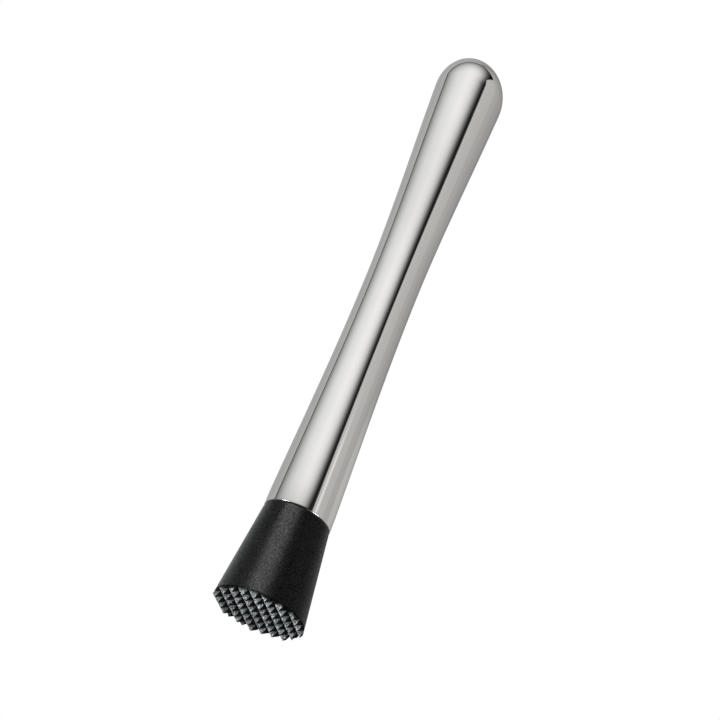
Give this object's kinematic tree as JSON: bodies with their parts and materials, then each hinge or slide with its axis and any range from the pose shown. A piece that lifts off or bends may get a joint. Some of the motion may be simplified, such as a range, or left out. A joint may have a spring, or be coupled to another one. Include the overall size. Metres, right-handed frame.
{
  "type": "bar muddler",
  "caption": "Waisted hollow steel muddler with a domed top and a screw-on black nylon head whose face is cut into square pyramid teeth.",
  "frame": {"origin": "on the axis, in the plane of the tooth tips", "axes": "+Z along the axis from the toothed face to the dome; the tooth rows lie 21.8 degrees clockwise of X and Y"},
  "size_m": [0.032, 0.032, 0.2037],
  "materials": {
    "polished_steel": "fine satin polish",
    "turned_steel": "turned",
    "silicone": "matte",
    "black_nylon": "fine moulded grain"
  },
  "bodies": {
    "handle": {"handle_tube": "polished_steel", "handle_dome": "polished_steel", "thread_plug": "turned_steel"},
    "ring": {"seal_ring": "silicone"},
    "head": {"head": "black_nylon", "stud": "turned_steel"}
  },
  "joints": [
    {"name": "head_unscrew", "type": "hinge", "parent": "ring", "child": "head", "pos_m": [0, 0, 0.0349], "axis": [0, 0, -1], "range_deg": [0, 2880]},
    {"name": "head_travel", "type": "slide", "parent": "handle", "child": "ring", "axis": [0, 0, -1], "range_m": [0, 0.01]}
  ],
  "couplings": [
    {"joint": "head_travel", "follows": "head_unscrew", "m_per_rad": 0.00019894}
  ]
}
